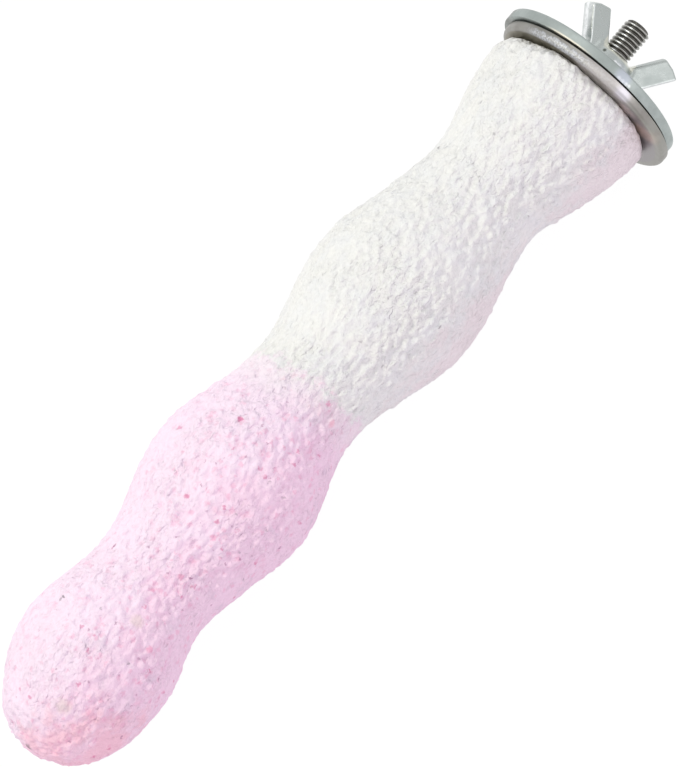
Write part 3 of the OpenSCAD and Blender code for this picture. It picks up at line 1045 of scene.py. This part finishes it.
# Inner washer: two greys of the rim, two of the face, whose warm one is painted shade towards +Y, two
# of the torn grain, painted bright as a highlight, and their places
RIM_PALE, RIM_DULL = rgb(156, 155, 150), rgb(143, 140, 135)
FACE_COOL, FACE_WARM_SHADE, FACE_SPAN = rgb(150, 146, 147), rgb(141, 136, 123), (-9, 9)
TORN_SHEEN_DARK, TORN_SHEEN_PALE = rgb(160, 160, 160), rgb(206, 208, 214)
TORN_SHEEN_AT, TORN_SHEEN_REACH = (-1.3, 3.2, 20.8), (15.0, 8.25)
ROLL_DEPTH, FACE_DEPTH = (2.2, 1.2), (1.4, 1.9)
LOW_HALF, LOW_HALF_NOISE, LOW_HALF_SWAY = (-0.5, -0.9), (1.6, 2), 0.25
STEEL_NOISE, STEEL_GRAINS, GRAIN_SPAN = (4.0, 4, 0.6), (0.45, 2, 0.6), (0.32, 0.68)
STEEL_GLOSS = (0.38, 0.55)
# Painted light: a wide pale painted reflection on the face, a pale and a brown painted reflection on it
# towards -Y, and a lavender painted highlight on the rim
STEEL_PAINTED_LIGHT = (
    ((-2.2, -5.5, 17.5), 9.5, rgb(214, 209, 207), 0.75),
    ((-2.8, -12.0, 13.0), 3.7, rgb(226, 214, 212), 0.75),
    ((-2.6, -16.8, 7.4), 4.6, rgb(206, 188, 176), 0.7),
    ((-1.2, -10.4, 18.5), 2.6, rgb(228, 224, 234), 0.7),
)


def stamped_steel(name):
    """Inner washer: warm grey, with a torn and grainy stretch of its rolled edge painted bright as a
    highlight, painted shade and painted reflections on its face, and a painted highlight on its rim.
    """
    s = Shading(name)
    place = s.position()
    x, y, _ = s.parts(place)
    far = s.from_axis(place)
    roll = s.span(far, *(WASHER_R - d for d in ROLL_DEPTH))
    low_half = s.span(s.plus(x, s.sway(s.noise(place, *LOW_HALF_NOISE), LOW_HALF_SWAY)), *LOW_HALF)
    # the torn grain's stretch, painted bright as a highlight
    near = s.span(s.vector("DISTANCE", place, TORN_SHEEN_AT), *TORN_SHEEN_REACH)
    torn_sheen = s.times(s.times(roll, low_half), near)
    colour = s.mix(s.span(s.noise(place, *STEEL_NOISE), *CLOUD_SPAN), RIM_PALE, RIM_DULL)
    # the face browner towards +Y as painted shade
    face = s.mix(s.span(y, *FACE_SPAN), FACE_COOL, FACE_WARM_SHADE)
    colour = s.mix(s.span(far, *(WASHER_R - d for d in FACE_DEPTH)), colour, face)
    grains = s.noise(place, *STEEL_GRAINS)
    # torn grain, painted bright as a highlight
    colour = s.mix(torn_sheen, colour, s.mix(s.span(grains, *GRAIN_SPAN), TORN_SHEEN_DARK, TORN_SHEEN_PALE))
    # painted reflections and a painted highlight on the face and rim
    colour = s.soft_marked(colour, place, STEEL_PAINTED_LIGHT)
    gloss = s.span(torn_sheen, 0, 1, *STEEL_GLOSS)
    normal = s.bump(s.times(grains, torn_sheen), 0.5, 0.2)
    normal = s.bump(s.noise(place, 0.9, 3), 0.08, 0.2, normal)
    return s.finish(Base_Color=colour, Metallic=1.0, Roughness=gloss, Normal=normal)


# Thread colours: painted shade in the roots, and paler crests
THREAD_ROOT_SHADE, THREAD_CREST_PALE = rgb(100, 98, 94), rgb(190, 189, 185)
THREAD_NOISE, WEAR_SPAN = (1.4, 4, 0.65), (0.2, 0.8, -0.25, 0.25)
THREAD_SPAN, CREST_HIGHLIGHT_SPAN = (0.15, 1.0), (0.45, 0.8)
# Painted highlight in a strip along the stud's crests. STRIP_WAY squeezes its length
STRIP_WAY = (0.14, 1.0, 1.0)
STRIP_HIGHLIGHT = ((1.6, 0.85, 2.8), 1.2, HIGHLIGHT_ZINC, 1.0)


def dull_thread(name):
    """Rolled thread: painted shade darkens the roots, the crests are paler where worn, and a painted
    highlight runs along a strip of them.
    """
    s = Shading(name)
    place = s.position()
    # painted shade in the roots, paler worn crests
    crest = s.span(s.from_axis(place), BOLT_R - THREAD_DEPTH, BOLT_R)
    crest_and_wear = s.plus(crest, s.span(s.noise(place, *THREAD_NOISE), *WEAR_SPAN))
    colour = s.mix(s.span(crest_and_wear, *THREAD_SPAN), THREAD_ROOT_SHADE, THREAD_CREST_PALE)
    # painted highlight strip
    highlight_strip = s.soft_mark(colour, s.vector("MULTIPLY", place, STRIP_WAY), *STRIP_HIGHLIGHT)
    colour = s.mix(s.span(crest_and_wear, *CREST_HIGHLIGHT_SPAN), colour, highlight_strip)
    normal = s.bump(s.noise(place, 0.4, 3, 0.6), 0.2, 0.1)
    return s.finish(Base_Color=colour, Metallic=1.0, Roughness=0.34, Normal=normal)


WOOD_PALE, WOOD_DARK = rgb(206, 172, 126), rgb(170, 130, 86)
WOOD_WAY, WOOD_NOISE = (0.06, 1.0, 1.0), (1.2, 5, 0.6)


def wood(name):
    """Plain turned hardwood, along the perch."""
    s = Shading(name)
    streak = s.noise(s.vector("MULTIPLY", s.position(), WOOD_WAY), *WOOD_NOISE)
    colour = s.mix(s.span(streak, NOISE_LOW, NOISE_HIGH), WOOD_PALE, WOOD_DARK)
    return s.finish(Base_Color=colour, Roughness=0.65, Normal=s.bump(streak, 0.3, 0.2))


# Stage

AZIMUTH, ELEVATION = -51.0, 71.25
PHOTO_SIZE = (679, 767)
PX_PER_MM = 4.795
ORIGIN_PX = (586.1, 89.6)
CAMERA_DISTANCE = 6000
SENSOR_WIDTH = 36
CLIP_NEAR, CLIP_FAR = 0.1, 40

LAMP_DISTANCE = 1200
# Way to the left and up in the view, tilt from its axis in degrees, size, level and colour
KEY_LAMP = (1.0, 0.5, 47, 160, 0.262, (1, 0.98, 0.8))
ROSE_LAMP = (-1.0, -0.6, 70, 900, 0.05, (1, 0.8, 1))

FILL_LEVEL, GLOSS_LEVEL = 0.85, 0.82
FILL_LIGHT = (0.975, 0.97, 1, 1)
PLAIN_WHITE = (1, 1, 1, 1)
# Soft boxes that only gloss shows: their way, how much brighter, and the cosines of edge and core
SOFT_BOXES = (((0.25, 0.51, 0.82), 1.0, 0.93, 0.985), ((0.25, -0.66, 0.7), 1.0, 0.93, 0.985))
# The side that a faint rose light comes from, its colour, and the cosine where it starts
ROSE_WAY, ROSE_LIGHT, ROSE_EDGE = (-0.1, -0.98, 0.15), (1, 0.88, 0.98, 1), 0.2

FLOOR_HALF, FLOOR_GAP = 4000, 0.05
FLOOR_PAINT = (0.85, 0.83, 0.86, 1)
FLOOR_SEEN, FLOOR_GLOW, SHADOW_SHARE = (0.95, 0.95, 0.95, 1), 1.05, 0.1


def view_axes():
    """Right, up and towards the camera, in the photo's view."""
    a, e = math.radians(AZIMUTH), math.radians(ELEVATION)
    back = Vector((math.sin(a) * math.cos(e), -math.cos(a) * math.cos(e), math.sin(e)))
    right = Vector((math.cos(a), math.sin(a), 0))
    return right, back.cross(right), back


def make_camera():
    """The camera, and the point that it looks at. The frame's origin lies at ORIGIN_PX in the photo."""
    right, up, back = view_axes()
    across = (PHOTO_SIZE[0] / 2 - ORIGIN_PX[0]) / PX_PER_MM
    down = (PHOTO_SIZE[1] / 2 - ORIGIN_PX[1]) / PX_PER_MM
    target = right * across - up * down
    data = bpy.data.cameras.new("camera")
    camera = add_object("camera", data)
    data.sensor_width = SENSOR_WIDTH
    data.lens = data.sensor_width * CAMERA_DISTANCE / (max(PHOTO_SIZE) / PX_PER_MM)
    data.clip_start, data.clip_end = CLIP_NEAR, CLIP_FAR
    turn = Matrix((right, up, back)).transposed()
    place = Matrix.Translation((target + back * CAMERA_DISTANCE) * MM)
    camera.matrix_world = place @ turn.to_4x4()
    scene.camera = camera
    return target


def make_lamp(name, target, left, rise, tilt, size, level, colour):
    """A square soft lamp. level is the light that it gives a white surface that faces it."""
    right, up, back = view_axes()
    side = (-right * left + up * rise).normalized()
    tilt = math.radians(tilt)
    way = back * math.cos(tilt) + side * math.sin(tilt)
    data = bpy.data.lights.new(name, "AREA")
    data.shape = "SQUARE"
    data.size = size * MM
    data.energy = level * math.pi**2 * (LAMP_DISTANCE * MM) ** 2
    data.color = colour
    lamp = add_object(name, data)
    lamp.location = (target + way * LAMP_DISTANCE) * MM
    lamp.rotation_mode = "QUATERNION"
    lamp.rotation_quaternion = (-way).to_track_quat("-Z", "Y")


def make_world():
    """A pale studio with two soft boxes. The camera sees it as plain white."""
    world = bpy.data.worlds.new("studio")
    scene.world = world
    world.use_nodes = True
    n = Nodes(world.node_tree)
    ray = n.add("LightPath").outputs
    way = n.add("TexCoord").outputs["Generated"]

    def toward(place, low, high, most):
        """Rises from 0 to most as the way nears a place. low and high are cosines."""
        facing = n.vector("DOT_PRODUCT", way, tuple(Vector(place).normalized()))
        return n.span(facing, low, high, 0.0, most)

    gloss = GLOSS_LEVEL
    for place, more, edge, core in SOFT_BOXES:
        gloss = n.plus(gloss, toward(place, edge, core, more))
    level = n.between(ray["Is Glossy Ray"], FILL_LEVEL, gloss)
    plain = n.math("MAXIMUM", ray["Is Camera Ray"], ray["Is Transmission Ray"])
    tint = n.mix(toward(ROSE_WAY, ROSE_EDGE, 1.0, 1.0), FILL_LIGHT, ROSE_LIGHT)
    back = n.tree.nodes["Background"].inputs
    n.put(back["Strength"], n.between(plain, level, 1.0))
    n.put(back["Color"], n.mix(ray["Is Diffuse Ray"], PLAIN_WHITE, tint))


def make_floor():
    """A pale floor. Camera, glossy and transmission rays see it as white with the object's shadow."""
    z = INNER_LOW[2] - FLOOR_GAP
    corners = [(x * FLOOR_HALF, y * FLOOR_HALF, z) for x, y in ((-1, -1), (1, -1), (1, 1), (-1, 1))]
    floor = make_object("floor", corners, [(0, 1, 2, 3)])
    material = bpy.data.materials.new("pale_floor")
    material.use_nodes = True
    n = Nodes(material.node_tree)
    n.tree.nodes.clear()
    paint = n.add("BsdfDiffuse", {"Color": FLOOR_PAINT}).outputs[0]
    plain = n.add("BsdfDiffuse", {"Color": FLOOR_SEEN}).outputs[0]
    glow = n.add("Emission", {"Strength": FLOOR_GLOW}).outputs[0]
    white = n.add("MixShader", {0: SHADOW_SHARE, 1: glow, 2: plain}).outputs[0]
    ray = n.add("LightPath").outputs
    seen = n.math("MAXIMUM", ray["Is Camera Ray"], ray["Is Glossy Ray"])
    seen = n.math("MAXIMUM", seen, ray["Is Transmission Ray"])
    both = n.add("MixShader", {0: seen, 1: paint, 2: white}).outputs[0]
    n.add("OutputMaterial", {"Surface": both})
    floor.data.materials.append(material)


def dress(obj, material, body, node):
    """Gives a piece its finish and its body, and hides the CAD node that it stands for."""
    obj.data.materials.append(material)
    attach(obj, body)
    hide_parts(node)


scene.view_settings.view_transform = "Standard"
target = make_camera()
make_world()
make_floor()
make_lamp("key_lamp", target, *KEY_LAMP)
make_lamp("rose_lamp", target, *ROSE_LAMP)

white, pink = make_coats()
joint_t = JOINT + JOINT_TILT
white_marks = [m for m in MARKS if m[0] < joint_t]
pink_marks = [m for m in MARKS if m[0] >= joint_t]
dress(white, mineral("white_cast", white_marks), "perch", "white_coat")
dress(pink, mineral("pink_cast", pink_marks), "perch", "pink_coat")
dress(make_bolt(), dull_thread("thread_steel"), "perch", "hanger_bolt")
inner = make_washer("stamped_washer", INNER_LOW, INNER_HIGH, INNER_ROUNDS, INNER_HANG, INNER_TRIM)
dress(inner, stamped_steel("stamped_steel"), "inner_washer", "inner_washer")
outer = make_washer("plated_washer", OUTER_LOW, OUTER_HIGH, OUTER_ROUNDS, OUTER_HANG)
outer_finish = zinc("plated_zinc", PLATED_ZINC, RIM_PAINTED_LIGHT, burr=True)
dress(outer, outer_finish, "outer_washer", "outer_washer")
dress(make_nut(), zinc("forged_zinc", FORGED_ZINC, HUB_PAINTED_LIGHT), "wing_nut", "wing_nut")

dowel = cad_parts["core_dowel"]
dowel.data.materials.clear()
dowel.data.materials.append(wood("turned_wood"))
